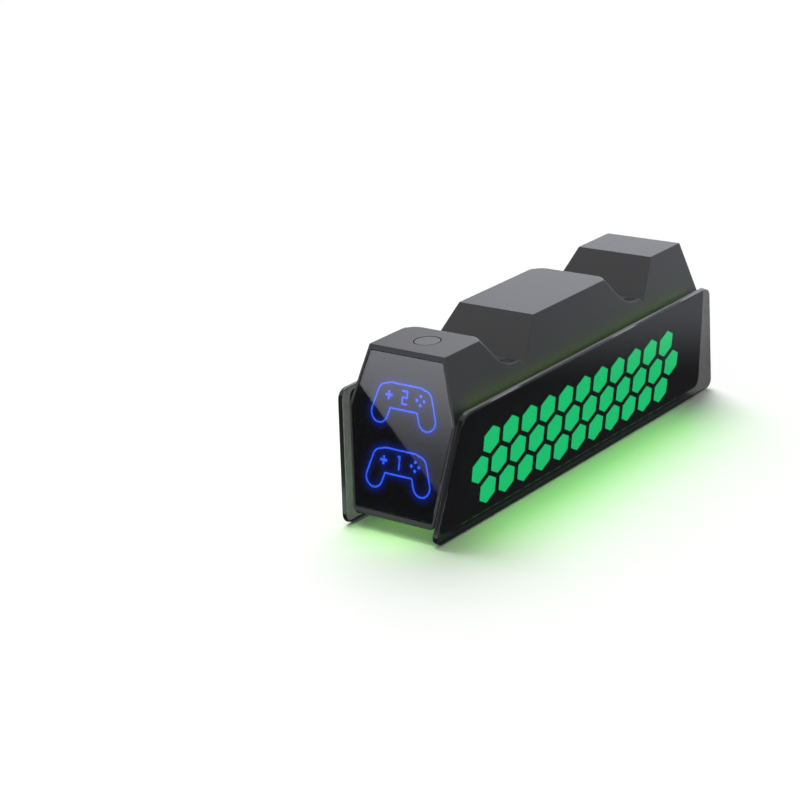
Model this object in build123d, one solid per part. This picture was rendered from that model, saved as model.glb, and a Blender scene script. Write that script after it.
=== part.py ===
from build123d import *
import os
from math import atan, cos, hypot, radians, sin, sqrt, tan

# Casing: a long six-sided body, widest at the waist, where its two halves meet.
# The front is at -Y, the floor at z = 0.
top_z = 80.0
waist_z = 51.8
belly_z = 6.3
top_width = 41.7
waist_width = 59.3
belly_width = 44.9
top_length = 189.8
front_top_y = -92.9
front_lean = 14.0
rear_lean = 6.8
wall = 2.6
belly_radius = 3.0
edge_radius = 0.6
lip_height = 2.0
lip_thickness = 1.0
fit_gap = 0.15

# Troughs: a front slope with a round-ended hump, a round floor, a groove and a leaning rear wall
block_length = 25.1
trough_pitch = 98.2
trough_opening = 40.4
trough_depth = 15.2
trough_slope = 53.0
trough_radius = 16.0
hump_depth = 3.6
hump_flat = 28.0
hump_end_radius = 6.9
hump_foot_radius = 12.0
hump_edge_radius = 0.8
rear_wall_foot = 24.0
groove_width = 1.6
groove_depth = 1.9
pad_thickness = 1.2
pad_margin = 0.85
pad_start = 11.0
pad_end = 21.8

# Charging contacts on the front slope of each trough
contact_place = 6.6
contact_width = 18.0
contact_height = 6.4
contact_flange = 1.2
contact_flange_rim = 1.4
contact_board_thickness = 1.0
pin_pitch = 9.0
pin_diameter = 1.6
pin_length = 6.0
pin_reach = 1.3
pin_travel = 1.0
pin_gap = 0.25
pin_tip_flat = 0.2
sleeve_wall = 0.5

# Front window: lens, printed mask, light guide, light box and lamp board
lens_thickness = 1.2
lens_chamfer = 0.35
bond_gap = 0.05
lens_sink = 0.1
lens_top_margin = 2.3
lens_side_margin = 1.35
lens_bottom_margin = 3.0
lens_corner = 1.2
lens_ledge = 2.0
mask_thickness = 0.5
guide_thickness = 1.5
light_box_depth = 3.0
light_box_wall = 1.4
lamp_board_thickness = 1.0
icon_places = {"2": -23.9, "1": -53.0}
icon_lamp_spread = 9.5
icon_stroke = 0.8
icon_body_width = 25.0
icon_body_height = 12.0
icon_body_radius = 4.5
icon_grip_length = 19.0
icon_grip_width = 10.0
icon_grip_spread = 11.8
icon_grip_tilt = 18.0
digit_width = 3.4
digit_height = 6.6
digit_stroke = 0.9

# Side light: guide plate, honeycomb mask and clear outer panel on the lower flank
side_guide_thickness = 1.1
side_mask_thickness = 0.5
panel_thickness = 3.0
panel_foot_length = 230.0
panel_top_length = 201.0
panel_top_z = 58.25
panel_floor_gap = 0.3
panel_foot_radius = 4.0
panel_top_radius = 6.0
panel_chamfer = 0.3
mask_bottom = 3.2
mask_top = 58.0
mask_front = 109.5
mask_rear_foot = 106.5
mask_rear_top = 100.1
mask_corner = 4.0
guide_margin = 1.6
hex_pitch = 14.33
hex_flats = 12.1
hex_count = 12
hex_centre_y = -2.2
hex_centre_up = 25.7

# Foot rails under the belly, with their lamp strips and rubber soles
rail_front_y = -96.0
rail_rear_y = 93.0
rail_inner_x = 14.5
sole_thickness = 1.2
sole_width = 5.0
peg_diameter = 4.0
peg_spacing = 60.0
strip_thickness = 0.3
strip_height = 3.0
strip_margin = 4.0
lamp_count = 12
lamp_length = 3.5
lamp_height = 1.6
lamp_depth = 0.7
glow_lamp_count = 9
glow_lamp_size = 3.0
glow_lamp_depth = 1.4

# Power button on the front block
button_place = 14.5
button_hole = 12.6
button_ring = 0.45
button_gap = 0.3
button_flange_rim = 1.0
button_flange_thickness = 0.9
button_stem = 4.0
button_travel = 0.6
button_edge = 0.25
switch_size = 6.0
switch_body = 3.5
switch_tip = 1.0
switch_tip_diameter = 3.4
button_board_width = 24.0
button_board_length = 12.0
button_post = 4.5
button_post_spread = 9.9

# Circuit boards, inlet and screws
board_thickness = 1.6
main_board_z = 12.5
main_board_width = 34.0
main_board_front_y = -55.0
main_board_rear_y = 66.0
main_tail_width = 20.0
board_end_gap = 0.8
board_post = 5.0
board_post_x = 13.0
board_post_front_y = -48.0
board_post_rear_y = 58.0
chip_size = 6.0
chip_height = 1.1
chip_pitch = 30.0
inductor_size = 7.0
inductor_height = 3.2
inductor_pitch = 40.0
capacitor_width = 2.4
capacitor_length = 4.2
capacitor_height = 2.0
capacitor_pitch = 14.0
component_inset = 8.0
plug_width = 8.0
plug_depth = 4.0
plug_height = 5.0
plug_spread = 6.0
plug_inset = 5.0
plug_pitch = 6.0
plug_rear_y = 46.0
inlet_width = 8.94
inlet_height = 3.26
inlet_length = 7.4
inlet_wall = 0.35
inlet_gap = 0.35
tongue_width = 6.7
tongue_thickness = 0.7
tongue_set_back = 1.0
screw_diameter = 3.0
screw_head = 5.4
screw_head_height = 2.2
screw_length = 12.0
screw_seat_z = 42.0
screw_seat_thickness = 4.0
screw_clearance = 0.4
case_post = 6.0
case_boss = 8.0
case_post_x = 17.5
case_front_y = -71.0
case_rear_y = 84.0
small_screw = 2.0
small_screw_head = 3.6
small_screw_head_height = 1.2
small_screw_length = 5.0
cable_thickness = 0.6
cable_width = 6.0
cable_rise = 8.0

# Worked out from the sizes above; cutters run past a face, and points within a hair are the same
front_rise = tan(radians(front_lean))
rear_rise = tan(radians(rear_lean))
rear_top_y = front_top_y + top_length
trough_starts = [front_top_y + block_length + i * trough_pitch for i in range(2)]
slope = radians(trough_slope)
trough_floor_z = top_z - trough_depth
rear_wall_rise = (trough_depth + groove_depth) / (trough_opening - rear_wall_foot)
flank_spread = (waist_width - top_width) / 2 / (top_z - waist_z)
flank_lean = atan((waist_width - belly_width) / 2 / (waist_z - belly_z))
flank_foot_x = belly_width / 2 - belly_z * tan(flank_lean)
small_screw_hole = small_screw + screw_clearance
far = 2 * top_length
past = 1.0
hair = 0.01


def front_y(z):
    """Front face of the casing at height z."""
    return front_top_y - front_rise * (top_z - z)


def rear_y(z):
    """Rear face of the casing at height z."""
    return rear_top_y + rear_rise * (top_z - z)


def box(x, y, z):
    """Block between pairs of limits."""
    limits = (x, y, z)
    middle = [(low + high) / 2 for low, high in limits]
    return Pos(*middle) * Box(*[high - low for low, high in limits])


def rod(x, y, z, diameter):
    """Upright cylinder between two heights."""
    middle = (z[0] + z[1]) / 2
    return Pos(x, y, middle) * Cylinder(diameter / 2, z[1] - z[0])


def corners(face, points):
    """Corners of a flat face that lie at the given points."""
    near = [v for v in face.vertices() if min(hypot(v.X - x, v.Y - y) for x, y in points) < hair]
    return near


def left_of(shape):
    """The same piece on the other side of the dock."""
    return mirror(shape, about=Plane.YZ)


# Side outlines: flat block tops with two troughs let in, first beside the humps, then along their middle
floor_turn = trough_depth / tan(slope)
floor_start = floor_turn + trough_radius * tan(slope / 2)
wall_foot = rear_wall_foot + groove_depth / rear_wall_rise


def side_outline(hump, floor_radius):
    """Side view of the casing with the front slope of each trough moved back by the hump."""
    points = [(front_y(belly_z), belly_z), (rear_y(belly_z), belly_z), (rear_top_y, top_z)]
    turns = [(s + hump + floor_turn, trough_floor_z) for s in trough_starts]
    feet = [(s + wall_foot, trough_floor_z) for s in trough_starts]
    for start, turn, foot in reversed(list(zip(trough_starts, turns, feet))):
        points += [(start + trough_opening, top_z), foot, turn, (start + hump, top_z)]
    points += [(front_top_y, top_z)]
    face = Polygon(*points, align=None)
    face = fillet(corners(face, turns), floor_radius)
    return fillet(corners(face, feet), edge_radius)


# The pads stop short of the flanks, measured where the pads reach highest on the front slope
pad_rise = trough_radius - sqrt(trough_radius**2 - (floor_start - pad_start) ** 2)
pad_width = top_width + 2 * flank_spread * (trough_depth - pad_rise) - 2 * pad_margin
side_face = side_outline(0, trough_radius)
hump_face = side_outline(hump_depth, hump_foot_radius)

# Cross-section: six-sided, with round lower corners
half_section = [(belly_width / 2, belly_z), (waist_width / 2, waist_z), (top_width / 2, top_z)]
section = half_section + [(-x, z) for x, z in reversed(half_section)]
section_face = Polygon(*section, align=None)
belly_corners = [(sx * belly_width / 2, belly_z) for sx in (-1, 1)]
section_face = fillet(corners(section_face, belly_corners), belly_radius)


def body(side, inset):
    """Solid outline of the casing with every face moved in."""
    ring = section_face
    if inset:
        side = offset(side, -inset, kind=Kind.INTERSECTION)
        ring = offset(ring, -inset, kind=Kind.INTERSECTION)
    return extrude(Plane.YZ * side, far, both=True) & extrude(Plane.XZ * ring, far, both=True)


def trough_band(start, depth):
    """Layer just under the floor of a trough."""
    layer = side_face - offset(side_face, -depth, kind=Kind.INTERSECTION)
    middle = start + (pad_start + pad_end) / 2
    window = Pos(middle, trough_floor_z) * Rectangle(pad_end - pad_start, trough_depth)
    return Plane.YZ * (layer & window)


# The humps fit between the grips of what is charged; their ends are rounded back to the flanks
slope_down = Vector(sin(slope) * flank_spread, cos(slope), -sin(slope))
hump_body = body(hump_face, 0)
for start in trough_starts:
    round_y = start + hump_depth - hump_end_radius
    corner = Pos(hump_flat / 2 + waist_width / 2, start) * Rectangle(waist_width, 4 * hump_end_radius)
    corner -= Pos(hump_flat / 2, round_y - far / 2) * Rectangle(2 * hump_end_radius, far)
    corner -= Pos(hump_flat / 2, round_y) * Circle(hump_end_radius)
    rise = 2 * slope_down
    corner = Pos(-rise.X, -rise.Y, top_z - rise.Z) * corner
    cutter = extrude(corner, 2 * hump_end_radius + trough_depth, dir=slope_down)
    hump_body -= cutter
    hump_body -= left_of(cutter)
base = body(side_face, 0)
outer = base + hump_body
cavity = body(hump_face, wall)
above = box((-far, far), (-far, far), (waist_z, far))
below = box((-far, far), (-far, far), (-far, waist_z))

front_plane = Plane(
    origin=(0, front_top_y, top_z),
    x_dir=(1, 0, 0),
    z_dir=(0, -cos(radians(front_lean)), sin(radians(front_lean))),
)
side_plane = Plane(
    origin=(flank_foot_x, 0, 0),
    x_dir=(0, 1, 0),
    z_dir=(cos(flank_lean), 0, -sin(flank_lean)),
)
contact_planes = [
    Plane(
        origin=(0, s + hump_depth + contact_place * cos(slope), top_z - contact_place * sin(slope)),
        x_dir=(1, 0, 0),
        z_dir=(0, sin(slope), cos(slope)),
    )
    for s in trough_starts
]
case_points = [(sx * case_post_x, y) for y in (case_front_y, case_rear_y) for sx in (-1, 1)]
nodes = {}

# Lens outline on the front face: the casing's six sides, drawn in by the margins
face_waist = -(top_z - waist_z) / cos(radians(front_lean))
face_belly = -(top_z - belly_z) / cos(radians(front_lean))


def face_half_width(up):
    """Half the width of the front face at a place along it, counted down from its top edge."""
    if up > face_waist:
        return top_width / 2 + (waist_width - top_width) / 2 * up / face_waist
    return waist_width / 2 - (waist_width - belly_width) / 2 * (face_waist - up) / (face_waist - face_belly)


def lens_face(inset):
    """Six-sided window outline, drawn in all round."""
    levels = [face_belly + lens_bottom_margin, face_waist, -lens_top_margin]
    right = [(face_half_width(up) - lens_side_margin, up) for up in levels]
    face = Polygon(*right, *[(-x, up) for x, up in reversed(right)], align=None)
    face = fillet(face.vertices(), lens_corner)
    return offset(face, -inset, kind=Kind.INTERSECTION) if inset else face


def front_layer(face, near, thickness):
    """Flat piece parallel to the front face, its near side at a depth behind that face."""
    return front_plane * Pos(0, 0, -near - thickness) * extrude(face, thickness)


lens_back = lens_sink + lens_thickness + bond_gap
window_cut = front_layer(lens_face(-fit_gap), -past, lens_back + past)
window_cut += front_layer(lens_face(lens_ledge), 0, 2 * wall)

# Upper casing: thin shell with rounded outer edges, open below
crown = base & above
ridges = [front_top_y, rear_top_y] + [s + trough_opening for s in trough_starts]
crown_edges = [
    edge
    for edge in crown.edges().filter_by(Axis.X)
    if edge.center().Z > top_z - hair and min(abs(edge.center().Y - y) for y in ridges) < hair
]
crown_edges += [
    edge
    for face in crown.faces()
    if abs(face.normal_at().X) > 0.9
    for edge in face.edges()
    if edge.center().Z > waist_z + edge_radius
]
upper = fillet(crown_edges, edge_radius) + (hump_body & above)
hump_edges = [
    edge
    for edge in upper.edges()
    for start in trough_starts
    if edge.center().Z > top_z - hair and edge_radius < edge.center().Y - start < hump_depth + hair
]
upper = fillet(hump_edges, hump_edge_radius) - cavity - window_cut

# Posts for the casing screws and for the button's board hang from the block tops
roof_z = top_z - wall
case_post_z = screw_seat_z + screw_seat_thickness
button_y = front_top_y + button_place
button_points = [(sx * button_post_spread, button_y) for sx in (-1, 1)]
stem_z = roof_z - button_gap - button_flange_thickness - button_travel - button_gap
button_board_z = stem_z - button_travel - button_gap / 3 - switch_tip - switch_body
for x, y in case_points:
    upper += rod(x, y, (case_post_z, top_z - wall / 2), case_post)
    upper -= rod(x, y, (case_post_z - past, screw_seat_z + screw_length), screw_diameter)
for x, y in button_points:
    upper += rod(x, y, (button_board_z, top_z - wall / 2), button_post)
    upper -= rod(x, y, (button_board_z - past, button_board_z + small_screw_length), small_screw)
upper -= rod(0, button_y, (roof_z - past, top_z + past), button_hole)

# Each trough has a groove at the foot of its rear wall, a bed for the pad and a slot for the contacts
for start, plane in zip(trough_starts, contact_planes):
    groove = [
        (start + rear_wall_foot - groove_width, trough_floor_z + past),
        (start + rear_wall_foot - groove_width, trough_floor_z),
        (start + rear_wall_foot - groove_width / 4, trough_floor_z - groove_depth),
        (start + rear_wall_foot, trough_floor_z - groove_depth),
        (start + rear_wall_foot + (groove_depth + past) / rear_wall_rise, trough_floor_z + past),
    ]
    upper -= extrude(Plane.YZ * Polygon(*groove, align=None), far, both=True)
    upper -= extrude(trough_band(start, pad_thickness), pad_width / 2 + fit_gap, both=True) - hump_body
    upper -= plane * Box(contact_width + 2 * fit_gap, contact_height + 2 * fit_gap, 4 * wall)
nodes["upper_housing"] = upper

# Lower casing: tub with a locating lip that reaches up inside the upper casing
tub = outer & below
tub_edges = [
    edge
    for face in tub.faces()
    if face.normal_at().Y < -0.9
    for edge in face.edges()
    if edge.center().Z < waist_z - edge_radius
]
lip_core = body(hump_face, wall + fit_gap + lip_thickness)
lip = (cavity - lip_core) & box((-far, far), (-far, far), (waist_z - lip_height, waist_z))
lip_ring = body(hump_face, wall + fit_gap) - lip_core
lip += lip_ring & box((-far, far), (-far, far), (waist_z, waist_z + lip_height))
lower = fillet(tub_edges, edge_radius) - cavity + lip - window_cut

# Screw bosses with deep seats, posts for the main board, and the inlet's slot
floor_z = belly_z + wall
for x, y in case_points:
    lower += rod(x, y, (belly_z + wall / 2, case_post_z), case_boss)
    lower -= rod(x, y, (belly_z - past, screw_seat_z), screw_head + screw_clearance)
    lower -= rod(x, y, (screw_seat_z, case_post_z + past), screw_diameter + screw_clearance)
board_points = [(sx * board_post_x, y) for y in (board_post_front_y, board_post_rear_y) for sx in (-1, 1)]
for x, y in board_points:
    lower += rod(x, y, (floor_z - wall / 2, main_board_z), board_post)
    lower -= rod(x, y, (floor_z, main_board_z + past), small_screw)
inlet_z = main_board_z + board_thickness + inlet_height / 2
inlet_mouth_y = rear_y(inlet_z + inlet_height / 2)
inlet_plane = Plane(origin=(0, inlet_mouth_y, inlet_z), x_dir=(1, 0, 0), z_dir=(0, -1, 0))
inlet_face = RectangleRounded(inlet_width, inlet_height, inlet_height / 2 - hair)
lower -= inlet_plane * extrude(offset(inlet_face, inlet_gap), 2 * wall, both=True)

# Foot rails carry the dock: each is pegged into the belly and backs the side light
up_scale = cos(flank_lean)
rail_section = [
    (rail_inner_x, sole_thickness),
    (flank_foot_x + sole_thickness * tan(flank_lean), sole_thickness),
    (flank_foot_x + belly_z * tan(flank_lean), belly_z),
    (rail_inner_x, belly_z),
]
rail_middle_y = (rail_front_y + rail_rear_y) / 2
rail_length = rail_rear_y - rail_front_y
rail = Pos(0, rail_rear_y) * extrude(Plane.XZ * Polygon(*rail_section, align=None), rail_length)
peg_x = (rail_inner_x + belly_width / 2 - belly_radius) / 2
pegs = [(peg_x, rail_middle_y + i * peg_spacing) for i in (-1, 0, 1)]
for x, y in pegs:
    rail += rod(x, y, (belly_z, floor_z), peg_diameter)
    for sx in (-1, 1):
        lower -= rod(sx * x, y, (belly_z - past, floor_z + past), peg_diameter + fit_gap)
nodes["lower_housing"] = lower
sole_x = (rail_inner_x + flank_foot_x) / 2
sole = box(
    (sole_x - sole_width / 2, sole_x + sole_width / 2),
    (rail_front_y, rail_rear_y),
    (0, sole_thickness),
)


def side_layer(face, near, thickness):
    """Flat piece parallel to the lower flank, its inner side at a distance outside it."""
    return side_plane * Pos(0, 0, near) * extrude(face, thickness)


# Smoked clear panel: long trapezium with round corners, square-cut and lightly chamfered
mask_out = side_guide_thickness
panel_out = mask_out + side_mask_thickness + bond_gap
panel_bottom = (panel_floor_gap + (panel_out + panel_thickness) * sin(flank_lean)) / up_scale
panel_top = (panel_top_z + (panel_out + panel_thickness) * sin(flank_lean)) / up_scale
panel_face = Polygon(
    (-panel_foot_length / 2, panel_bottom),
    (panel_foot_length / 2, panel_bottom),
    (panel_top_length / 2, panel_top),
    (-panel_top_length / 2, panel_top),
    align=None,
)
panel_face = fillet(panel_face.vertices().group_by(Axis.Y)[0], panel_foot_radius)
panel_face = fillet(panel_face.vertices().group_by(Axis.Y)[-1], panel_top_radius)
panel = extrude(panel_face, panel_thickness)
panel = chamfer(panel.faces().filter_by(Axis.Z).edges(), panel_chamfer)
panel = side_plane * Pos(0, 0, panel_out) * panel

# Honeycomb mask and the light guide plate behind it
panel_rise = (panel_foot_length - panel_top_length) / 2 / (panel_top - panel_bottom)
mask_face = Polygon(
    (-mask_front, mask_bottom),
    (mask_rear_foot, mask_bottom),
    (mask_rear_top, mask_top),
    (-mask_front + panel_rise * (mask_top - mask_bottom), mask_top),
    align=None,
)
mask_face = fillet(mask_face.vertices(), mask_corner)
guide_bottom = mask_bottom + guide_margin
guide_room = Pos(0, guide_bottom + far / 2) * Rectangle(2 * far, far)
guide_face = offset(mask_face, -guide_margin, kind=Kind.INTERSECTION) & guide_room
hexagon = RegularPolygon(hex_flats / sqrt(3), 6, rotation=90)
cells = []
for row in (-1, 0, 1):
    count = hex_count - abs(row)
    for i in range(count):
        along = hex_centre_y + (i - (count - 1) / 2) * hex_pitch
        cells.append(Pos(along, hex_centre_up + row * hex_pitch * sqrt(3) / 2) * hexagon)
side_mask = side_layer(mask_face - cells, mask_out, side_mask_thickness)
side_guide = side_layer(guide_face, 0, side_guide_thickness)

# Lamp strips: one shines up into the guide plate, one shines inwards under the belly
strip_length = rail_length - 2 * strip_margin
strip_top = guide_bottom - fit_gap
edge_strip = side_plane * Pos(rail_middle_y, strip_top - strip_height / 2, strip_thickness / 2) * Box(
    strip_length, strip_height, strip_thickness
)
for i in range(lamp_count):
    along = rail_middle_y + (i - (lamp_count - 1) / 2) * strip_length / lamp_count
    place = Pos(along, strip_top - lamp_height / 2, strip_thickness + lamp_depth / 2)
    edge_strip += side_plane * place * Box(lamp_length, lamp_height, lamp_depth)
glow_z = (sole_thickness + belly_z) / 2
glow_strip = box(
    (rail_inner_x - strip_thickness, rail_inner_x),
    (rail_middle_y - strip_length / 2, rail_middle_y + strip_length / 2),
    (glow_z - strip_height / 2 - strip_thickness, glow_z + strip_height / 2 + strip_thickness),
)
for i in range(glow_lamp_count):
    along = rail_middle_y + (i - (glow_lamp_count - 1) / 2) * strip_length / glow_lamp_count
    lamp = Box(glow_lamp_depth, glow_lamp_size, glow_lamp_size)
    glow_strip += Pos(rail_inner_x - strip_thickness - glow_lamp_depth / 2, along, glow_z) * lamp

side_pieces = {
    "foot_rail": rail,
    "foot_sole": sole,
    "side_panel": panel,
    "honeycomb_mask": side_mask,
    "light_guide": side_guide,
    "edge_strip": edge_strip,
    "glow_strip": glow_strip,
}
for name, piece in side_pieces.items():
    nodes["right_" + name] = piece
    nodes["left_" + name] = left_of(piece)

# Front lens with a bevelled rim, and the picture mask bonded to its back
lens = extrude(lens_face(0), lens_thickness)
lens = chamfer(lens.faces().sort_by(Axis.Z)[-1].edges(), lens_chamfer)
nodes["front_lens"] = front_plane * Pos(0, 0, -lens_sink - lens_thickness) * lens


def segments(digit):
    """Plain digit made of straight strokes."""
    across = (digit_width - digit_stroke) / 2
    high = (digit_height - digit_stroke) / 2
    if digit == "1":
        flag = Pos(-across / 2, high) * Rectangle(across, digit_stroke)
        return Rectangle(digit_stroke, digit_height) + flag
    upright = Rectangle(digit_stroke, high + digit_stroke)
    strokes = Pos(across, high / 2) * upright + Pos(-across, -high / 2) * upright
    for up in (high, 0, -high):
        strokes += Pos(0, up) * Rectangle(digit_width, digit_stroke)
    return strokes


def icon(digit):
    """Line picture of a plain gamepad with its number."""
    rise = icon_body_height / 4
    pad = Pos(0, rise) * RectangleRounded(icon_body_width, icon_body_height, icon_body_radius)
    for sx in (-1, 1):
        grip = Rot(0, 0, 90 + sx * icon_grip_tilt) * SlotOverall(icon_grip_length, icon_grip_width)
        pad += Pos(sx * icon_grip_spread, -icon_body_height / 12) * grip
    lines = pad - offset(pad, -icon_stroke)
    side = icon_body_width / 2 - icon_body_radius + icon_stroke
    arm = 5 * icon_stroke
    lines += Pos(-side, rise) * (Rectangle(arm, 1.5 * icon_stroke) + Rectangle(1.5 * icon_stroke, arm))
    for dx, dy in ((1, 0), (-1, 0), (0, 1), (0, -1)):
        lines += Pos(side + dx * arm / 2, rise + dy * arm / 2) * Circle(icon_stroke)
    return lines + Pos(0, rise) * segments(digit)


icons = [Pos(0, up) * icon(digit) for digit, up in icon_places.items()]
mask_near = lens_back
guide_near = mask_near + mask_thickness
box_near = guide_near + guide_thickness
lamp_near = box_near + light_box_depth
lip_inset = wall + lip_thickness + 3 * fit_gap - lens_side_margin
module_inset = max(lens_ledge + fit_gap, lip_inset)
module_face = lens_face(module_inset)
nodes["icon_mask"] = front_layer(lens_face(lens_ledge + fit_gap) - icons, mask_near, mask_thickness)
icon_guide = front_layer(module_face, guide_near, guide_thickness)
for picture in icons:
    icon_guide += front_layer(picture, mask_near, mask_thickness)
nodes["icon_light_guide"] = icon_guide

# Light box with one chamber for each picture, closed by the lamp board
module_middle = sum(icon_places.values()) / len(icon_places)
divider = Pos(0, module_middle) * Rectangle(waist_width, light_box_wall)
chambers = lens_face(module_inset + light_box_wall) - divider
nodes["icon_light_box"] = front_layer(module_face - chambers, box_near, light_box_depth)
nodes["icon_board"] = front_layer(module_face, lamp_near, lamp_board_thickness)
lamp_face = Rectangle(lamp_length, lamp_length)
lamps = Part()
for up in icon_places.values():
    for sx in (-1, 1):
        lamps += front_layer(Pos(sx * icon_lamp_spread, up) * lamp_face, lamp_near - lamp_depth, lamp_depth)
nodes["icon_lamps"] = lamps

# Power button, its switch and the board that carries the switch
flange_z = (roof_z - button_gap - button_flange_thickness, roof_z - button_gap)
cap = rod(0, button_y, (flange_z[0], top_z), button_hole - 2 * button_ring)
cap = fillet(cap.faces().sort_by(Axis.Z)[-1].edges(), button_edge)
cap += rod(0, button_y, flange_z, button_hole + 2 * button_flange_rim)
cap += rod(0, button_y, (stem_z, flange_z[0]), button_stem)
nodes["power_button"] = cap
switch_half = switch_size / 2
switch_top = button_board_z + switch_body
switch = box(
    (-switch_half, switch_half),
    (button_y - switch_half, button_y + switch_half),
    (button_board_z, switch_top),
)
switch += rod(0, button_y, (switch_top, switch_top + switch_tip), switch_tip_diameter)
nodes["tact_switch"] = switch
button_board = box(
    (-button_board_width / 2, button_board_width / 2),
    (button_y - button_board_length / 2, button_y + button_board_length / 2),
    (button_board_z - board_thickness, button_board_z),
)

# Seat pads and charging contacts, the same in both troughs
sleeve_outer = pin_diameter + 2 * pin_gap + 2 * sleeve_wall
for where, start, plane in zip(("front", "rear"), trough_starts, contact_planes):
    pads = extrude(trough_band(start, pad_thickness), pad_width / 2, both=True)
    nodes[where + "_seat_pads"] = pads - hump_body
    block_depth = wall + contact_flange
    block = Pos(0, 0, -block_depth / 2) * Box(contact_width, contact_height, block_depth)
    rim = 2 * contact_flange_rim
    flange = Box(contact_width + rim, contact_height + rim, contact_flange)
    block += Pos(0, 0, -wall - contact_flange / 2) * flange
    board_depth = block_depth + contact_board_thickness
    board = Pos(0, 0, -block_depth - contact_board_thickness / 2) * Box(
        contact_width, contact_height, contact_board_thickness
    )
    sleeves = Part()
    for side, sx in (("left", -1), ("right", 1)):
        place = Pos(sx * pin_pitch / 2, 0, 0)
        block -= place * Cylinder(sleeve_outer / 2, 4 * block_depth)
        board -= place * Cylinder(sleeve_outer / 2, 4 * board_depth)
        tube_length = pin_length - pin_reach + pin_travel + pin_gap + sleeve_wall
        tube = place * Pos(0, 0, -tube_length / 2) * Cylinder(sleeve_outer / 2, tube_length)
        bore_length = tube_length - sleeve_wall
        tube -= place * Pos(0, 0, -bore_length / 2) * Cylinder(pin_diameter / 2 + pin_gap, bore_length)
        sleeves += tube
        pin = Pos(0, 0, pin_reach - pin_length / 2) * Cylinder(pin_diameter / 2, pin_length)
        pin = fillet(pin.faces().sort_by(Axis.Z)[-1].edges(), (pin_diameter - pin_tip_flat) / 2)
        nodes[where + "_contact_pin_" + side] = plane * place * pin
    nodes[where + "_contact_block"] = plane * block
    nodes[where + "_contact_board"] = plane * board
    nodes[where + "_pin_sleeves"] = plane * sleeves

# Main board on its posts: a wide part for the charging circuits and a tail to the inlet
board_z = (main_board_z, main_board_z + board_thickness)
board_half = main_board_width / 2
inlet_back_y = inlet_mouth_y - inlet_length
tail_rear_y = rear_y(main_board_z) - wall / cos(radians(rear_lean)) - board_end_gap
main_board = box((-board_half, board_half), (main_board_front_y, main_board_rear_y), board_z)
main_board += box((-main_tail_width / 2, main_tail_width / 2), (main_board_rear_y, tail_rear_y), board_z)
for x, y in board_points:
    main_board -= rod(x, y, (main_board_z - past, main_board_z + 2 * board_thickness), small_screw_hole)
nodes["main_board"] = main_board
board_top = board_z[1]


def parts_on_board(size, places):
    """Equal block-shaped components standing on the main board."""
    group = Part()
    for x, y in places:
        group += Pos(x, y, board_top + size[2] / 2) * Box(*size)
    return group


component_x = board_half - component_inset
chip_places = [(0, i * chip_pitch) for i in (-1, 0, 1)]
inductor_places = [(-component_x, i * inductor_pitch / 2) for i in (-1, 1)]
capacitor_places = [(component_x, i * capacitor_pitch) for i in (-2, -1, 1, 2)]
nodes["charge_chips"] = parts_on_board((chip_size, chip_size, chip_height), chip_places)
nodes["power_inductors"] = parts_on_board((inductor_size, inductor_size, inductor_height), inductor_places)
capacitor_block = (capacitor_width, capacitor_length, capacitor_height)
nodes["capacitors"] = parts_on_board(capacitor_block, capacitor_places)
plug_size = (plug_width, plug_depth, plug_height)
plug_front_y = main_board_front_y + plug_inset
plug_places = {
    "display": (-plug_spread, plug_front_y),
    "button": (plug_spread, plug_front_y),
    "front_contact": (0, plug_front_y + plug_pitch),
    "rear_contact": (0, plug_rear_y),
}
nodes["cable_plugs"] = parts_on_board(plug_size, plug_places.values())

# Power inlet: formed metal shell around a flat contact tongue
shell = inlet_plane * extrude(inlet_face, inlet_length)
shell -= inlet_plane * extrude(offset(inlet_face, -inlet_wall), inlet_length - inlet_wall)
nodes["inlet_shell"] = shell
tongue_half = tongue_width / 2
nodes["inlet_tongue"] = box(
    (-tongue_half, tongue_half),
    (inlet_back_y + inlet_wall, inlet_mouth_y - tongue_set_back),
    (inlet_z - tongue_thickness / 2, inlet_z + tongue_thickness / 2),
)


def screws(places, head_z, head, head_height, shank, shank_length):
    """Group of equal screws driven upwards, the underside of each head at head_z."""
    group = Part()
    for x, y in places:
        group += rod(x, y, (head_z - head_height, head_z), head)
        group += rod(x, y, (head_z, head_z + shank_length), shank)
    return group


# Casing screws sit deep in the lower bosses; small screws hold the two boards
nodes["case_screws"] = screws(
    case_points,
    screw_seat_z,
    screw_head,
    screw_head_height,
    screw_diameter,
    screw_length - screw_head_height,
)
for x, y in button_points:
    button_board -= rod(x, y, (button_board_z - 2 * board_thickness, button_board_z + past), small_screw_hole)
nodes["button_board"] = button_board
nodes["button_board_screws"] = screws(
    button_points,
    button_board_z - board_thickness,
    small_screw_head,
    small_screw_head_height,
    small_screw,
    small_screw_length,
)
board_screws = Part()
for x, y in board_points:
    board_screws += rod(x, y, (board_top, board_top + small_screw_head_height), small_screw_head)
    board_screws += rod(x, y, (floor_z, board_top), small_screw)
nodes["board_screws"] = board_screws


def flat_cable(start, plug, shift):
    """Flat cable from a point in the side view to the top of its plug, its thickness to one side."""
    x, y = plug_places[plug]
    z = board_top + plug_height
    route = [start, (y, z + cable_rise), (y, z)]
    band = route + [(along + shift, up) for along, up in reversed(route)]
    ribbon = extrude(Plane.YZ * make_face(Polyline(*band, close=True)), cable_width / 2, both=True)
    return Pos(x, 0, 0) * ribbon


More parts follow.
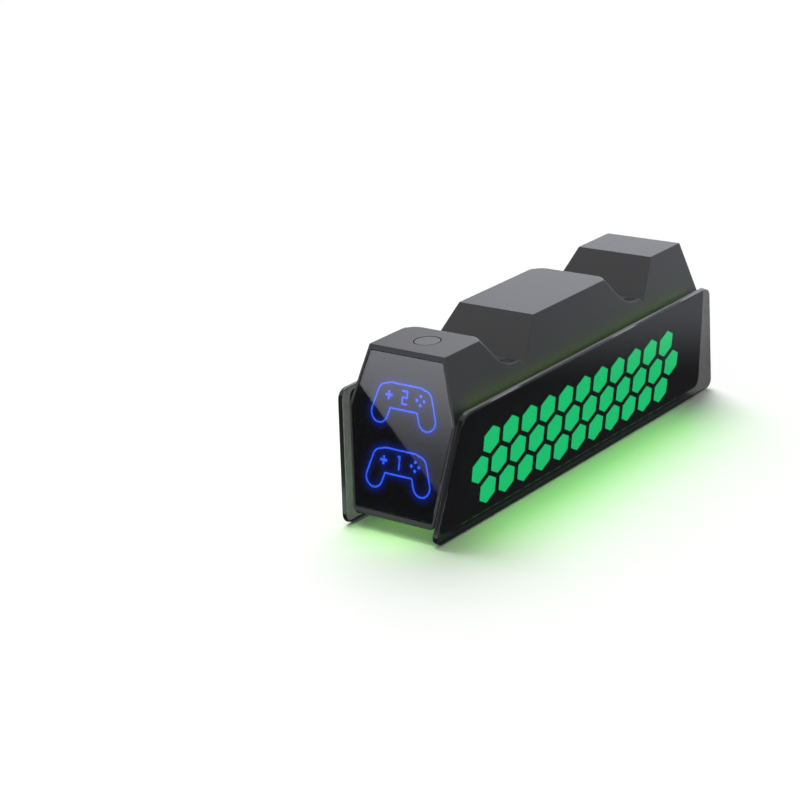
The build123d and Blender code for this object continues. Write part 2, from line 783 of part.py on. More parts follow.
# Flat cables run from the boards to the plugs on the main board
for where, plane in zip(("front", "rear"), contact_planes):
    back = (plane * Pos(0, contact_height / 4, -board_depth)).position
    nodes[where + "_contact_cable"] = flat_cable((back.Y, back.Z), where + "_contact", -cable_thickness)
button_tail = (button_y + button_board_length / 4, button_board_z - board_thickness)
nodes["button_cable"] = flat_cable(button_tail, "button", cable_thickness)
display_end = (front_plane * Pos(0, module_middle, -lamp_near - lamp_board_thickness)).position
nodes["display_cable"] = flat_cable((display_end.Y, display_end.Z), "display", cable_thickness)

os.makedirs("parts", exist_ok=True)
for name, piece in nodes.items():
    export_step(piece, f"parts/{name}.step")
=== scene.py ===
from math import cos, pi, radians, sin

import bpy
from mathutils import Matrix, Vector
from mathutils.bvhtree import BVHTree


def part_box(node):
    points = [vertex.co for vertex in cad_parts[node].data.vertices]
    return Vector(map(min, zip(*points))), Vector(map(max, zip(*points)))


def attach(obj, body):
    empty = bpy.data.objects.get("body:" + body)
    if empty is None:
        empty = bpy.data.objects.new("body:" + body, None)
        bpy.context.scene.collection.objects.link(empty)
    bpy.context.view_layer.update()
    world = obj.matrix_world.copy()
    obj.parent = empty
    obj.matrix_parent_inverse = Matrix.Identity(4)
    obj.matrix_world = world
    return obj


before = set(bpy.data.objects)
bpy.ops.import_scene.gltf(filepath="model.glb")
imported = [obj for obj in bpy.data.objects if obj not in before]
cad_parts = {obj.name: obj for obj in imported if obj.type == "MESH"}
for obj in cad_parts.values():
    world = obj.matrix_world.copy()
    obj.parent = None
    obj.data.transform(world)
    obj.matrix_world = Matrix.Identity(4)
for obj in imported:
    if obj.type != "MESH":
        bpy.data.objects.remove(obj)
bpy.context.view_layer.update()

# Upper and lower casing: two thin shells moulded in black ABS and screwed together from below.
# The spark-eroded mould leaves a fine, even matt grain that scatters the light softly.
# Every corner leaves the mould with a small radius, which catches a thin line of light.


def linear(code):
    """sRGB hex colour as linear RGBA."""
    channels = [int(code[i : i + 2], 16) / 255 for i in (1, 3, 5)]
    return [c / 12.92 if c <= 0.04045 else ((c + 0.055) / 1.055) ** 2.4 for c in channels] + [1.0]


def repeats(millimetres):
    """Texture scale at which one feature of the pattern has this size."""
    return 1000 / millimetres


def add(tree, kind, settings):
    """Adds a shader node; a setting is a property, a socket's value or another node's output to link."""
    node = tree.nodes.new("ShaderNode" + kind)
    for name, value in settings.items():
        if isinstance(name, str) and name not in node.inputs:
            setattr(node, name, value)
        elif isinstance(value, bpy.types.NodeSocket):
            tree.links.new(value, node.inputs[name])
        else:
            node.inputs[name].default_value = value
    return node


def new_material(name):
    """Empty node material and its tree."""
    material = bpy.data.materials.new(name)
    material.use_nodes = True
    material.node_tree.nodes.clear()
    return material, material.node_tree


def dress(material, *names):
    """Gives the CAD nodes of these names the material."""
    for name in names:
        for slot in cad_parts[name].material_slots:
            slot.material = material


# Sizes of patterns, corners and reliefs are in millimetres here and below, and places are in metres
cloud_size = 18.0
grain_depth = 0.06
gloss_spread = 0.04


def moulded(name, dark, light, grain_size, roughness, relief, corner_radius, ior):
    """Moulded polymer: two close shades in soft clouds, a grain in bump and gloss, and rounded corners."""
    material, tree = new_material(name)
    place = add(tree, "TexCoord", {})
    spot = place.outputs["Object"]
    grain = add(tree, "TexNoise", {"Vector": spot, "Scale": repeats(grain_size), "Detail": 2.0})
    cloud = add(tree, "TexNoise", {"Vector": spot, "Scale": repeats(cloud_size), "Detail": 2.0})
    shade = {"data_type": "RGBA", 0: cloud.outputs["Fac"], 6: linear(dark), 7: linear(light)}
    shade = add(tree, "Mix", shade)
    gloss = {"To Min": roughness - gloss_spread, "To Max": roughness + gloss_spread}
    gloss = add(tree, "MapRange", {**gloss, "Value": grain.outputs["Fac"]})
    corner = add(tree, "Bevel", {"samples": 6, "Radius": corner_radius / 1000})
    bump = {"Height": grain.outputs["Fac"], "Strength": relief, "Distance": grain_depth / 1000}
    bump = add(tree, "Bump", {**bump, "Normal": corner.outputs[0]})
    skin = {"Base Color": shade.outputs[2], "Roughness": gloss.outputs[0], "IOR": ior}
    skin = add(tree, "BsdfPrincipled", {**skin, "Normal": bump.outputs[0]})
    add(tree, "OutputMaterial", {"Surface": skin.outputs[0]})
    return material


# The real grain is about 0.15 mm, drawn at 0.5 mm so that it still shows
matt_abs = moulded(
    "matt_moulded_abs", "#242427", "#29292C",
    grain_size=0.5, roughness=0.46, relief=0.12, corner_radius=0.6, ior=1.54,
)
dress(matt_abs, "upper_housing", "lower_housing", "left_foot_rail", "right_foot_rail")

# Power button: a round ABS cap in a close hole of the top, pressed with a finger.
# Its mould is polished finer than the casing's, so the cap looks a touch smoother.
satin_abs = moulded(
    "satin_moulded_abs", "#262629", "#2A2A2D",
    grain_size=0.35, roughness=0.42, relief=0.08, corner_radius=0.3, ior=1.54,
)
dress(satin_abs, "power_button")

# Rubber: soles pressed into grooves under the foot rails, and near-black pads on the trough floors, which
# make those floors show dark.
# Moulded nitrile, dull and slightly rough, so it stays almost black beside the casing.
rubber = moulded(
    "moulded_black_rubber", "#101011", "#151516",
    grain_size=0.7, roughness=0.8, relief=0.25, corner_radius=0.3, ior=1.52,
)
dress(rubber, "left_foot_sole", "right_foot_sole", "front_seat_pads", "rear_seat_pads")

# Side panels: 3 mm cast acrylic with a smoke tint, cut to shape, bevelled and bonded on.
# The polished faces pass a little light and mirror the room; the edges are dark, and clear at the rear end.
# Only the long top edge is left frosted from the saw, up to a polished rim at its outer face; its light
# grey is partly that frost and partly painted light, which only the upward edge gets.


def facing(tree, axis, least):
    """1 where the surface faces along the axis, either way, by at least this much, and 0 elsewhere."""
    place = add(tree, "TexCoord", {})
    part = add(tree, "SeparateXYZ", {"Vector": place.outputs["Normal"]})
    turn = add(tree, "Math", {"operation": "ABSOLUTE", 0: part.outputs[axis]})
    turned = add(tree, "Math", {"operation": "GREATER_THAN", 0: turn.outputs[0], 1: least})
    return turned.outputs[0]


panel_lean = radians(8.99)
outward = Vector((cos(panel_lean), 0, -sin(panel_lean)))


def depth(tree):
    """How far out a point of either side lies, across the sheets, in metres."""
    place = add(tree, "TexCoord", {})
    spot = add(tree, "VectorMath", {"operation": "ABSOLUTE", 0: place.outputs["Object"]})
    out = add(tree, "VectorMath", {"operation": "DOT_PRODUCT", 0: spot.outputs[0], 1: outward})
    return out.outputs["Value"]


def reach(name):
    """Least and greatest depth of a sheet on the right side."""
    depths = [v.co.dot(outward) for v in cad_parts[name].data.vertices]
    return min(depths), max(depths)


polished_smoke = "#060607"
frosted_grey_painted_light = "#606064"
face_alpha = 0.70
rear_alpha = 0.72
rear_end = 0.098
panel_corner = 0.7
polished_rim = 0.0011
# A surface counts as a broad face or as the top edge from this much of its normal along the axis
face_turn = 0.6
top_turn = 0.9
wave_size = 25.0
wave_depth = 0.1
saw_mark = 0.4
smoked_acrylic, tree = new_material("smoked_cast_acrylic")
broad = facing(tree, "X", face_turn)
rim = reach("right_side_panel")[1] - polished_rim
inner = add(tree, "Math", {"operation": "LESS_THAN", 0: depth(tree), 1: rim})
sawn_top_painted_light = {"operation": "MULTIPLY", 0: facing(tree, "Z", top_turn), 1: inner.outputs[0]}
sawn_top_painted_light = add(tree, "Math", sawn_top_painted_light).outputs[0]
place = add(tree, "TexCoord", {})
spot = place.outputs["Object"]
wave = add(tree, "TexNoise", {"Vector": spot, "Scale": repeats(wave_size), "Detail": 1.0})
saw = add(tree, "TexNoise", {"Vector": spot, "Scale": repeats(saw_mark), "Detail": 2.0})
# Painted light: only the upward top edge gets the lighter frosted grey, for the light it catches from
# above.
tint = {"data_type": "RGBA", 0: sawn_top_painted_light, 6: linear(polished_smoke), 7: linear(frosted_grey_painted_light)}
tint = add(tree, "Mix", tint)
polish = add(tree, "MapRange", {"Value": wave.outputs["Fac"], "To Min": 0.05, "To Max": 0.08})
frost = add(tree, "MapRange", {"Value": saw.outputs["Fac"], "To Min": 0.42, "To Max": 0.55})
gloss = add(tree, "Mix", {0: sawn_top_painted_light, 2: polish.outputs[0], 3: frost.outputs[0]})
part = add(tree, "SeparateXYZ", {"Vector": spot})
rear = add(tree, "Math", {"operation": "GREATER_THAN", 0: part.outputs["Y"], 1: rear_end})
edge = add(tree, "MapRange", {"Value": rear.outputs[0], "To Min": 1.0, "To Max": rear_alpha})
clear = add(tree, "Mix", {0: broad, 2: edge.outputs[0], 3: face_alpha})
corner = add(tree, "Bevel", {"samples": 6, "Radius": panel_corner / 1000})
bump = {"Height": wave.outputs["Fac"], "Strength": 0.04, "Distance": wave_depth / 1000}
bump = add(tree, "Bump", {**bump, "Normal": corner.outputs[0]})
pane = {"Base Color": tint.outputs[2], "Roughness": gloss.outputs[0], "IOR": 1.49}
pane = {**pane, "Alpha": clear.outputs[0], "Normal": bump.outputs[0]}
pane = add(tree, "BsdfPrincipled", pane)
add(tree, "OutputMaterial", {"Surface": pane.outputs[0]})
dress(smoked_acrylic, "left_side_panel", "right_side_panel")

# Light guide plates behind the panels: clear acrylic, lit through the foot edge by green lamps.
# Fine printed dots scatter the light out evenly, so each cell of the mask glows flat green.
# The light leaves by the outer face, and only a little escapes at the back and the edges.
guide_green = "#0FBF6E"
guide_dots = "#0DB367"
face_glow = 11.0
edge_glow = 0.3
guide_turn = 0.9
# The printed dots are about 0.3 mm apart, drawn at 0.9 mm so that they still show
dot_pitch = 0.9
green_guide, tree = new_material("edge_lit_acrylic_green")
broad = facing(tree, "X", guide_turn)
place = add(tree, "TexCoord", {})
dots = add(tree, "TexVoronoi", {"Vector": place.outputs["Object"], "Scale": repeats(dot_pitch)})
glow = {"data_type": "RGBA", 0: dots.outputs["Distance"], 6: linear(guide_green), 7: linear(guide_dots)}
glow = add(tree, "Mix", glow)
middle = sum(reach("right_light_guide")) / 2
outer = add(tree, "Math", {"operation": "GREATER_THAN", 0: depth(tree), 1: middle})
lit = add(tree, "Math", {"operation": "MULTIPLY", 0: broad, 1: outer.outputs[0]})
level = add(tree, "MapRange", {"Value": lit.outputs[0], "To Min": edge_glow, "To Max": face_glow})
plate = {"Base Color": linear("#8FD9B0"), "Roughness": 0.25, "IOR": 1.49}
plate = {**plate, "Emission Color": glow.outputs[2], "Emission Strength": level.outputs[0]}
plate = add(tree, "BsdfPrincipled", plate)
add(tree, "OutputMaterial", {"Surface": plate.outputs[0]})
dress(green_guide, "left_light_guide", "right_light_guide")

# Lamp strips: white flexible strips, glued in, green at the foot of the guides and lime in the rails.
# Small square lamps sit along them at an even pitch, and the strip between them glows faintly.
lamp_pitch = 8.0
lamp_share = 0.45
lamp_blur = 0.06
strip_grit = 1.5


def lamp_strip(name, dark, light, lit, between):
    """Flexible strip whose lamps glow at one strength and the strip between them at another."""
    material, tree = new_material(name)
    place = add(tree, "TexCoord", {})
    part = add(tree, "SeparateXYZ", {"Vector": place.outputs["Object"]})
    along = add(tree, "Math", {"operation": "MULTIPLY", 0: part.outputs["Y"], 1: repeats(lamp_pitch)})
    phase = add(tree, "Math", {"operation": "PINGPONG", 0: along.outputs[0], 1: 0.5})
    lamp = {"From Min": lamp_share / 2, "From Max": lamp_share / 2 + lamp_blur}
    lamp = {**lamp, "Value": phase.outputs[0], "To Min": lit, "To Max": between}
    lamp = add(tree, "MapRange", lamp)
    grit = {"Vector": place.outputs["Object"], "Scale": repeats(strip_grit), "Detail": 1.0}
    grit = add(tree, "TexNoise", grit)
    tone = {"data_type": "RGBA", 0: grit.outputs["Fac"], 6: linear(dark), 7: linear(light)}
    tone = add(tree, "Mix", tone)
    strip = {"Base Color": linear("#DDE5DD"), "Roughness": 0.45, "IOR": 1.5}
    strip = {**strip, "Emission Color": tone.outputs[2], "Emission Strength": lamp.outputs[0]}
    strip = add(tree, "BsdfPrincipled", strip)
    add(tree, "OutputMaterial", {"Surface": strip.outputs[0]})
    return material


green_lamps = lamp_strip("lit_lamp_strip_green", "#4FD873", "#5CE07A", lit=1.5, between=0.25)
dress(green_lamps, "left_edge_strip", "right_edge_strip")
lime_lamps = lamp_strip("lit_lamp_strip_lime", "#84E63C", "#92EE4C", lit=4.0, between=0.8)
dress(lime_lamps, "left_glow_strip", "right_glow_strip")

# Masks: black ink, screen printed, one layer behind each side panel and one behind the front lens.
# The ink dries slightly uneven, with a soft satin surface.
ink_grit = 0.6
mask_ink, tree = new_material("screen_printed_black_ink")
place = add(tree, "TexCoord", {})
grit = {"Vector": place.outputs["Object"], "Scale": repeats(ink_grit), "Detail": 2.0}
grit = add(tree, "TexNoise", grit)
tone = {"data_type": "RGBA", 0: grit.outputs["Fac"], 6: linear("#09090A"), 7: linear("#0D0D0E")}
tone = add(tree, "Mix", tone)
dry = add(tree, "MapRange", {"Value": grit.outputs["Fac"], "To Min": 0.5, "To Max": 0.62})
ink = {"Base Color": tone.outputs[2], "Roughness": dry.outputs[0], "IOR": 1.5}
ink = add(tree, "BsdfPrincipled", ink)
add(tree, "OutputMaterial", {"Surface": ink.outputs[0]})
dress(mask_ink, "left_honeycomb_mask", "right_honeycomb_mask", "icon_mask")

# Front lens: 1.2 mm moulded acrylic, tinted almost black, with a hard half-mirror coat on its faces.
# It is bonded into the front recess; it mirrors the room, and the lit pictures show through it.
lens_wave = 30.0
lens_acrylic, tree = new_material("black_tinted_coated_acrylic")
place = add(tree, "TexCoord", {})
wave = {"Vector": place.outputs["Object"], "Scale": repeats(lens_wave), "Detail": 1.0}
wave = add(tree, "TexNoise", wave)
polish = add(tree, "MapRange", {"Value": wave.outputs["Fac"], "To Min": 0.02, "To Max": 0.04})
window = {"Base Color": linear("#050609"), "Roughness": polish.outputs[0], "IOR": 1.49, "Alpha": 0.6}
window = {**window, "Coat Weight": 1.0, "Coat Roughness": 0.02, "Coat IOR": 1.8}
window = add(tree, "BsdfPrincipled", window)
add(tree, "OutputMaterial", {"Surface": window.outputs[0]})
dress(lens_acrylic, "front_lens")

# Picture light guide behind the lens: clear acrylic raised into the openings of the mask.
# Blue lamps on the board behind it shine into it, so the raised lines glow evenly.
picture_cloud = 6.0
picture_glow = 6.0
blue_guide, tree = new_material("back_lit_acrylic_blue")
place = add(tree, "TexCoord", {})
cloud = {"Vector": place.outputs["Object"], "Scale": repeats(picture_cloud), "Detail": 1.0}
cloud = add(tree, "TexNoise", cloud)
glow = {"data_type": "RGBA", 0: cloud.outputs["Fac"], 6: linear("#2F63FF"), 7: linear("#386BFF")}
glow = add(tree, "Mix", glow)
plate = {"Base Color": linear("#A9BEFF"), "Roughness": 0.3, "IOR": 1.49}
plate = {**plate, "Emission Color": glow.outputs[2], "Emission Strength": picture_glow}
plate = add(tree, "BsdfPrincipled", plate)
add(tree, "OutputMaterial", {"Surface": plate.outputs[0]})
dress(blue_guide, "icon_light_guide", "icon_lamps")

# Diffuser film on the front of the mask: a thin clear sheet held by the lens, with a soft blue halo painted
# as glow around each lit line. The painted glow fades with the distance from the nearest line.
lens_lean = radians(14)
lens_normal = Vector((0, -cos(lens_lean), sin(lens_lean)))
lens_up = Vector((0, sin(lens_lean), cos(lens_lean)))
film_step = 0.0005
film_gap = 0.00002
halo_reach = 0.0055
halo_strength = 0.3
film_glow = 2.4
guide_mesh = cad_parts["icon_light_guide"].data
mask_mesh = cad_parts["icon_mask"].data
film_out = max(v.co.dot(lens_normal) for v in mask_mesh.vertices) + film_gap
line_out = max(v.co.dot(lens_normal) for v in guide_mesh.vertices) - film_gap
lit_faces = [f for f in guide_mesh.polygons if f.center.dot(lens_normal) > line_out]
lines = BVHTree.FromPolygons([v.co for v in guide_mesh.vertices], [f.vertices for f in lit_faces])
lit_points = [guide_mesh.vertices[i].co for f in lit_faces for i in f.vertices]
film_half = max(p.x for p in lit_points) + halo_reach
film_low = min(p.dot(lens_up) for p in lit_points) - halo_reach
film_high = max(p.dot(lens_up) for p in lit_points) + halo_reach
columns = int(2 * film_half / film_step) + 1
rows = int((film_high - film_low) / film_step) + 1
points = []
for row in range(rows):
    height = film_low + row * film_step
    for column in range(columns):
        side = Vector((column * film_step - film_half, 0, 0))
        points.append(side + height * lens_up + film_out * lens_normal)
corners = [(row * columns + column) for row in range(rows - 1) for column in range(columns - 1)]
mesh = bpy.data.meshes.new("icon_diffuser_film")
mesh.from_pydata(points, [], [(i, i + 1, i + columns + 1, i + columns) for i in corners])
halo = mesh.attributes.new("halo", "FLOAT", "POINT")
for spot, point in zip(halo.data, points):
    away = lines.find_nearest(point)[3]
    spot.value = halo_strength * max(0, 1 - away / halo_reach) ** 3
film = bpy.data.objects.new("icon_diffuser_film", mesh)
bpy.context.scene.collection.objects.link(film)
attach(film, "dock")
film_sheet, tree = new_material("clear_diffuser_film_painted_glow")
halo = add(tree, "Attribute", {"attribute_name": "halo"})
sheet = {"Base Color": linear("#0A1030"), "Roughness": 0.4, "IOR": 1.5, "Alpha": halo.outputs["Fac"]}
# The film's emission is painted glow; the film itself is no lamp.
sheet = {**sheet, "Emission Color": linear("#1F4BFF"), "Emission Strength": film_glow}
sheet = add(tree, "BsdfPrincipled", sheet)
add(tree, "OutputMaterial", {"Surface": sheet.outputs[0]})
mesh.materials.append(film_sheet)

# Black inner mouldings: contact blocks in the troughs, the inlet's tongue, chip bodies and the switch.
# Glass-filled nylon and epoxy, a little grey and even, with a fine dry grain.
black_nylon = moulded(
    "glass_filled_black_nylon", "#18181A", "#1E1E20",
    grain_size=0.6, roughness=0.55, relief=0.15, corner_radius=0.15, ior=1.53,
)
dress(black_nylon, "front_contact_block", "rear_contact_block")
dress(black_nylon, "inlet_tongue", "charge_chips", "tact_switch")

# White inner mouldings: the box that shields the picture lamps and the sockets of the flat cables.
# Polycarbonate filled with white pigment, so that it throws the light forward.
white_plastic = moulded(
    "white_polycarbonate", "#DCDCD8", "#E6E6E2",
    grain_size=0.6, roughness=0.45, relief=0.1, corner_radius=0.2, ior=1.58,
)
dress(white_plastic, "icon_light_box", "cable_plugs")

# Inductor cores and capacitor cans on the main board: pressed ferrite and dark lacquered cans.
# Both are grey-brown with a slightly granular, matt surface.
ferrite = moulded(
    "pressed_ferrite", "#2B2826", "#393532",
    grain_size=0.5, roughness=0.6, relief=0.3, corner_radius=0.2, ior=1.8,
)
dress(ferrite, "power_inductors", "capacitors")

# Circuit boards: glass epoxy laminate under a green solder mask, screwed to bosses inside the casing.
# Copper tracks show through the mask as lighter lines on a regular grid.
track_pitch = 2.0
track_height = 0.04
circuit_board, tree = new_material("green_solder_mask_laminate")
place = add(tree, "TexCoord", {})
tracks = {"Vector": place.outputs["Object"], "Scale": repeats(track_pitch), "Mortar Size": 0.08}
tracks = {**tracks, "Color1": linear("#0E4526"), "Color2": linear("#0C3D22"), "Mortar": linear("#1C7A45")}
tracks = add(tree, "TexBrick", {**tracks, "Brick Width": 2.6, "Row Height": 0.5})
bump = {"Height": tracks.outputs["Fac"], "Strength": 0.3, "Distance": track_height / 1000}
bump = add(tree, "Bump", bump)
board = {"Base Color": tracks.outputs["Color"], "Roughness": 0.35, "IOR": 1.55, "Normal": bump.outputs[0]}
board = add(tree, "BsdfPrincipled", board)
add(tree, "OutputMaterial", {"Surface": board.outputs[0]})
dress(circuit_board, "main_board", "button_board", "icon_board")
dress(circuit_board, "front_contact_board", "rear_contact_board")

# Flat cables between the boards: parallel copper strips laminated between two white polyester films.
# The strips show as fine ribs along the cable.
strip_pitch = 1.0
rib_height = 0.1
flat_cable, tree = new_material("laminated_flat_cable")
place = add(tree, "TexCoord", {})
ribs = add(tree, "TexWave", {"Vector": place.outputs["Object"], "Scale": repeats(strip_pitch) / (2 * pi)})
tone = {"data_type": "RGBA", 0: ribs.outputs["Fac"], 6: linear("#D9D9D4"), 7: linear("#B9B4A6")}
tone = add(tree, "Mix", tone)
bump = add(tree, "Bump", {"Height": ribs.outputs["Fac"], "Strength": 0.3, "Distance": rib_height / 1000})
lead = {"Base Color": tone.outputs[2], "Roughness": 0.3, "IOR": 1.57, "Normal": bump.outputs[0]}
lead = add(tree, "BsdfPrincipled", lead)
add(tree, "OutputMaterial", {"Surface": lead.outputs[0]})
dress(flat_cable, "button_cable", "display_cable", "front_contact_cable", "rear_contact_cable")

# Charging pins and their sleeves: turned brass, gold plated, sprung in the contact blocks.
# The plating is bright, with faint turning marks round each pin.
mark_spread = 0.07
plated_corner = 0.12


def plated(name, dark, light, roughness, mark_size):
    """Plated metal with fine tool marks that vary its tone and gloss."""
    material, tree = new_material(name)
    place = add(tree, "TexCoord", {})
    marks = {"Vector": place.outputs["Object"], "Scale": repeats(mark_size), "Detail": 3.0}
    marks = add(tree, "TexNoise", marks)
    tone = {"data_type": "RGBA", 0: marks.outputs["Fac"], 6: linear(dark), 7: linear(light)}
    tone = add(tree, "Mix", tone)
    gloss = {"To Min": roughness - mark_spread, "To Max": roughness + mark_spread}
    gloss = add(tree, "MapRange", {**gloss, "Value": marks.outputs["Fac"]})
    corner = add(tree, "Bevel", {"samples": 4, "Radius": plated_corner / 1000})
    metal = {"Base Color": tone.outputs[2], "Metallic": 1.0, "Roughness": gloss.outputs[0]}
    metal = add(tree, "BsdfPrincipled", {**metal, "Normal": corner.outputs[0]})
    add(tree, "OutputMaterial", {"Surface": metal.outputs[0]})
    return material


gold_plated_brass = plated("gold_plated_brass", "#CFA450", "#E2BD6C", roughness=0.24, mark_size=0.3)
for row in ("front", "rear"):
    dress(gold_plated_brass, row + "_pin_sleeves", row + "_contact_pin_left", row + "_contact_pin_right")

# Screws and the inlet's shell: steel, the screws zinc plated and the shell stamped and nickel plated.
# A dull, slightly streaky silver grey.
zinc_plated_steel = plated("zinc_plated_steel", "#A9ABAE", "#C3C5C8", roughness=0.34, mark_size=0.5)
dress(zinc_plated_steel, "case_screws", "board_screws", "button_board_screws", "inlet_shell")

# Floor and room: a seamless white paper sweep in an even white room.
# The camera sees the paper as pure white; the dock still shades it and colours it with its lamps.
floor_reach = 6.0
floor_drop = 0.0002
paper_seen = 1.015
mesh = bpy.data.meshes.new("floor")
square = [(-1, -1), (1, -1), (1, 1), (-1, 1)]
mesh.from_pydata([(x * floor_reach, y * floor_reach, 0) for x, y in square], [], [(0, 1, 2, 3)])
floor = bpy.data.objects.new("floor", mesh)
floor.location.z = -floor_drop
bpy.context.scene.collection.objects.link(floor)
paper, tree = new_material("white_paper_sweep")
path = add(tree, "LightPath", {})
white = {"data_type": "RGBA", 0: path.outputs["Is Camera Ray"], 6: linear("#EEEEEE")}
white = add(tree, "Mix", {**white, 7: (paper_seen, paper_seen, paper_seen, 1)})
sweep = add(tree, "BsdfDiffuse", {"Color": white.outputs[2]})
add(tree, "OutputMaterial", {"Surface": sweep.outputs[0]})
mesh.materials.append(paper)

room_light = 0.27
world = bpy.data.worlds.new("white_room")
world.use_nodes = True
tree = world.node_tree
tree.nodes.clear()
path = add(tree, "LightPath", {})
seen = {"operation": "MAXIMUM", 0: path.outputs["Is Camera Ray"], 1: path.outputs["Is Glossy Ray"]}
seen = add(tree, "Math", seen)
seen = {"operation": "MAXIMUM", 0: seen.outputs[0], 1: path.outputs["Is Transmission Ray"]}
seen = add(tree, "Math", seen)
room = add(tree, "Background", {"Color": linear("#FFFFFF"), "Strength": room_light})
backdrop = add(tree, "Background", {"Color": linear("#FFFFFF"), "Strength": 1.0})
both = add(tree, "MixShader", {0: seen.outputs[0], 1: room.outputs[0], 2: backdrop.outputs[0]})
add(tree, "OutputWorld", {"Surface": both.outputs[0]})
bpy.context.scene.world = world

# Key light: one broad light high behind the dock on the left, whose soft shadow falls to the front right.
# Together with the room it lights a level surface at about 1.
key_elevation = radians(55)
key_spread = radians(50)
key_across = -0.7 * cos(key_elevation)
key_behind = 0.71 * cos(key_elevation)
key_from = Vector((key_across, key_behind, sin(key_elevation)))
sun = bpy.data.lights.new("key_light", "SUN")
sun.angle = key_spread
sun.energy = (1 - room_light) * pi / sin(key_elevation)
key = bpy.data.objects.new("key_light", sun)
key.rotation_euler = key_from.to_track_quat("Z", "Y").to_euler()
key.visible_glossy = False
bpy.context.scene.collection.objects.link(key)

# Glow of the dock's own lamps: a long soft lamp along each panel, one under the belly and one at the front
# light the floor, and a thin one in the gap above each guide plate tints the flank beside it.
glow_green = "#86F046"
flank_green = "#B4F05A"
under_green = "#A2F580"
panel_low, panel_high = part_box("right_side_panel")
body_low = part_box("lower_housing")[0]


def glow_lamp(name, centre, direction, size, colour, watts):
    """Rectangular green lamp that lights surfaces but isn't itself in the picture."""
    light = bpy.data.lights.new(name, "AREA")
    light.shape = "RECTANGLE"
    light.size, light.size_y = size
    light.color = linear(colour)[:3]
    light.energy = watts
    lamp = bpy.data.objects.new(name, light)
    lamp.location = centre
    lamp.rotation_euler = Vector(direction).to_track_quat("-Z", "Y").to_euler()
    lamp.visible_camera = False
    lamp.visible_glossy = False
    bpy.context.scene.collection.objects.link(lamp)


glow_length = 0.8 * (panel_high.y - panel_low.y)
for sx in (-1, 1):
    beside = (sx * (panel_high.x + 0.004), -0.015, 0.03)
    out_and_down = (sx * 0.7, 0, -0.7)
    glow_lamp("floor_glow", beside, out_and_down, (glow_length, 0.03), glow_green, watts=0.025)
    above = (sx * (panel_high.x - 0.0042), 0, panel_high.z - 0.001)
    in_and_up = (-sx * 0.7, 0, 0.7)
    glow_lamp("flank_glow", above, in_and_up, (glow_length, 0.001), flank_green, watts=0.0105)
belly = (0, body_low.y + 0.076, 0.0058)
down = (0, 0, -1)
glow_lamp("under_glow", belly, down, (0.042, 0.15), under_green, watts=0.0052)
front = (0, body_low.y - 0.002, 0.018)
forward_and_down = (0, -0.7, -0.7)
glow_lamp("front_glow", front, forward_and_down, (0.045, 0.012), glow_green, watts=0.0045)

# Camera at the photograph's view: slightly from above, turned to the right of the front, a little rolled.
# Its place, turn and focal length come from a fit to edge points of the photograph.
azimuth = radians(40.03)
elevation = radians(20.09)
roll = radians(-4.34)
eye = Vector((0.5638, -0.7711, 0.38007))
focal_pixels = 2150.0
image_pixels = 800
back = Vector((sin(azimuth) * cos(elevation), -cos(azimuth) * cos(elevation), sin(elevation)))
level = Vector((cos(azimuth), sin(azimuth), 0))
upright = back.cross(level)
right = cos(roll) * level + sin(roll) * upright
up = cos(roll) * upright - sin(roll) * level
lens = bpy.data.cameras.new("camera")
lens.sensor_width = 36.0
lens.lens = focal_pixels / image_pixels * lens.sensor_width
lens.clip_start = 0.01
camera = bpy.data.objects.new("camera", lens)
camera.matrix_world = Matrix.Translation(eye) @ Matrix((right, up, back)).transposed().to_4x4()
bpy.context.scene.collection.objects.link(camera)
bpy.context.scene.camera = camera
bpy.context.scene.view_settings.view_transform = "Standard"

# Cards and flags: boards around the dock that only reflections see, as a studio sets up for black gloss.
# They grade the white room in the panels, the flanks, the lens and its bezel, and the sheen of the tops.


def card(name, points, along, near, far):
    """Board seen in reflections only; near and far are (place along a direction, strength) of its grade."""
    material, tree = new_material(name + "_board")
    place = add(tree, "TexCoord", {})
    part = add(tree, "VectorMath", {"operation": "DOT_PRODUCT", 0: place.outputs["Object"], 1: along})
    grade = {"Value": part.outputs["Value"], "interpolation_type": "SMOOTHSTEP"}
    grade = {**grade, "From Min": near[0], "From Max": far[0], "To Min": near[1], "To Max": far[1]}
    grade = add(tree, "MapRange", grade)
    face = add(tree, "Emission", {"Color": linear("#F4F6FF"), "Strength": grade.outputs[0]})
    add(tree, "OutputMaterial", {"Surface": face.outputs[0]})
    mesh = bpy.data.meshes.new(name)
    mesh.from_pydata(points, [], [list(range(len(points)))])
    mesh.materials.append(material)
    made = bpy.data.objects.new(name, mesh)
    bpy.context.scene.collection.objects.link(made)
    made.visible_camera = False
    made.visible_diffuse = False
    made.visible_transmission = False
    made.visible_shadow = False


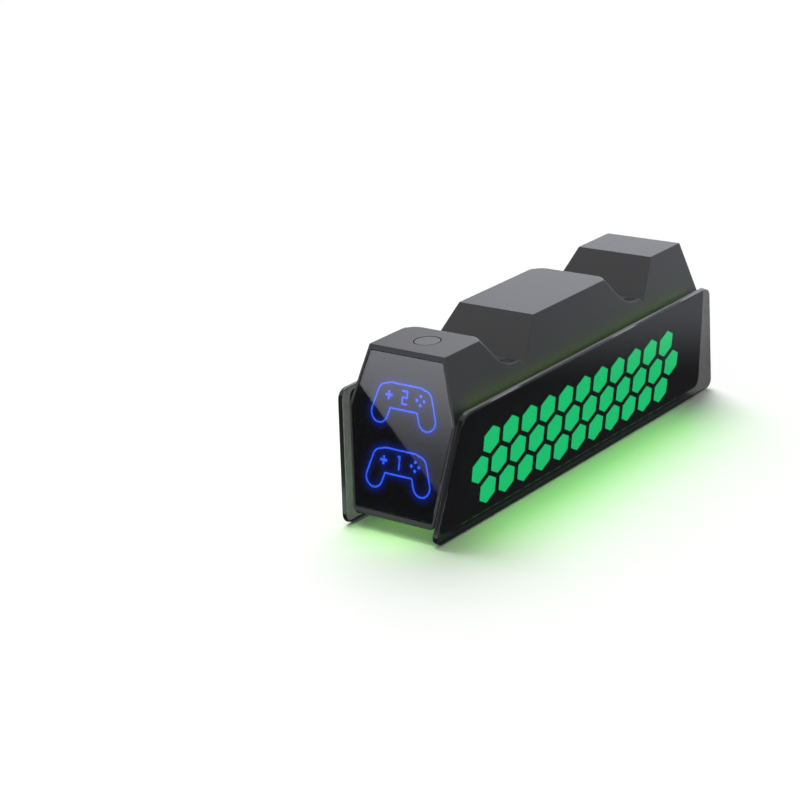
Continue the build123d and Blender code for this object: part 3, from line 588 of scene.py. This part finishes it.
side_height = 0.0005
beside_dock = [(0.02, -0.4), (0.5, -0.4), (0.5, 0.4), (0.02, 0.4)]
for sx in (-1, 1):
    board = [(sx * x, y, side_height) for x, y in beside_dock]
    card("side_card", board, along=(sx * 2, 1, 0), near=(0.19, 0.13), far=(0.345, 0.84))
sheen_back = 0.5
behind_dock = [(-0.5, 0.04), (0.15, 0.04), (0.15, 0.5), (-0.5, 0.5)]
board = [(x, sheen_back, z) for x, z in behind_dock]
card("sheen_card", board, along=(0, 0, 1), near=(0.05, 3.5), far=(0.2, 2.3))
flank_side = 0.15
right_of_dock = [(0.0, 0.001), (0.45, 0.001), (0.45, 0.2), (0.0, 0.2)]
board = [(flank_side, y, z) for y, z in right_of_dock]
card("flank_card", board, along=(0, 1, 0), near=(0.02, 0.35), far=(0.3, 1.1))
by_camera = [(0.5, -0.65, 0.05), (0.75, -0.25, 0.05), (0.75, -0.25, 0.35), (0.5, -0.65, 0.35)]
card("corner_card", by_camera, along=(0, 0, 1), near=(0.0, 3.0), far=(0.3, 3.0))
flag_front = -0.5
before_dock = [(-0.75, 0.001), (0.05, 0.001), (0.05, 0.5), (-0.75, 0.5)]
board = [(x, flag_front, z) for x, z in before_dock]
card("front_flag", board, along=(0, 0, 1), near=(0.0, 0.6), far=(0.04, 0.25))
bezel_height = 0.0006
on_floor = [(-0.6, -0.49), (0.1, -0.49), (0.1, -0.14), (-0.6, -0.14)]
board = [(x, y, bezel_height) for x, y in on_floor]
card("bezel_card", board, along=(0, 1, 0), near=(-0.5, 2.0), far=(-0.1, 2.0))

# White card and black flag for the lens: the card's lower edge shows as a diagonal down to the right.
# Their corners lie on lines from the mirrored eye through points of the lens, (across, up) from its top.
lens_top = Vector((0, -0.0929, 0.080))
mirrored_eye = eye - 2 * (eye - lens_top).dot(lens_normal) * lens_normal


def before_lens(points, times):
    """Points, this many times as far as the lens, that the camera sees mirrored at these places of it."""
    on_lens = [lens_top + Vector((x, 0, 0)) + y * lens_up for x, y in points]
    return [mirrored_eye + times * (p - mirrored_eye) for p in on_lens]


diagonal = [(-0.0251, -0.0183), (0.0233, -0.0587), (0.05, -0.081)]
above_it = [(0.05, 0.03), (-0.05, 0.03), (-0.05, 0.0025)]
glare = before_lens(diagonal + above_it, times=1.3)
card("lens_card", glare, along=(0, 0, 1), near=(0.03, 0.45), far=(0.1, 2.1))
whole_lens = [(-0.028, 0), (-0.028, -0.074), (0.028, -0.074), (0.028, 0)]
dark = before_lens(whole_lens, times=1.33)
card("lens_flag", dark, along=(0, 0, 1), near=(0.0, 0.05), far=(0.1, 0.06))
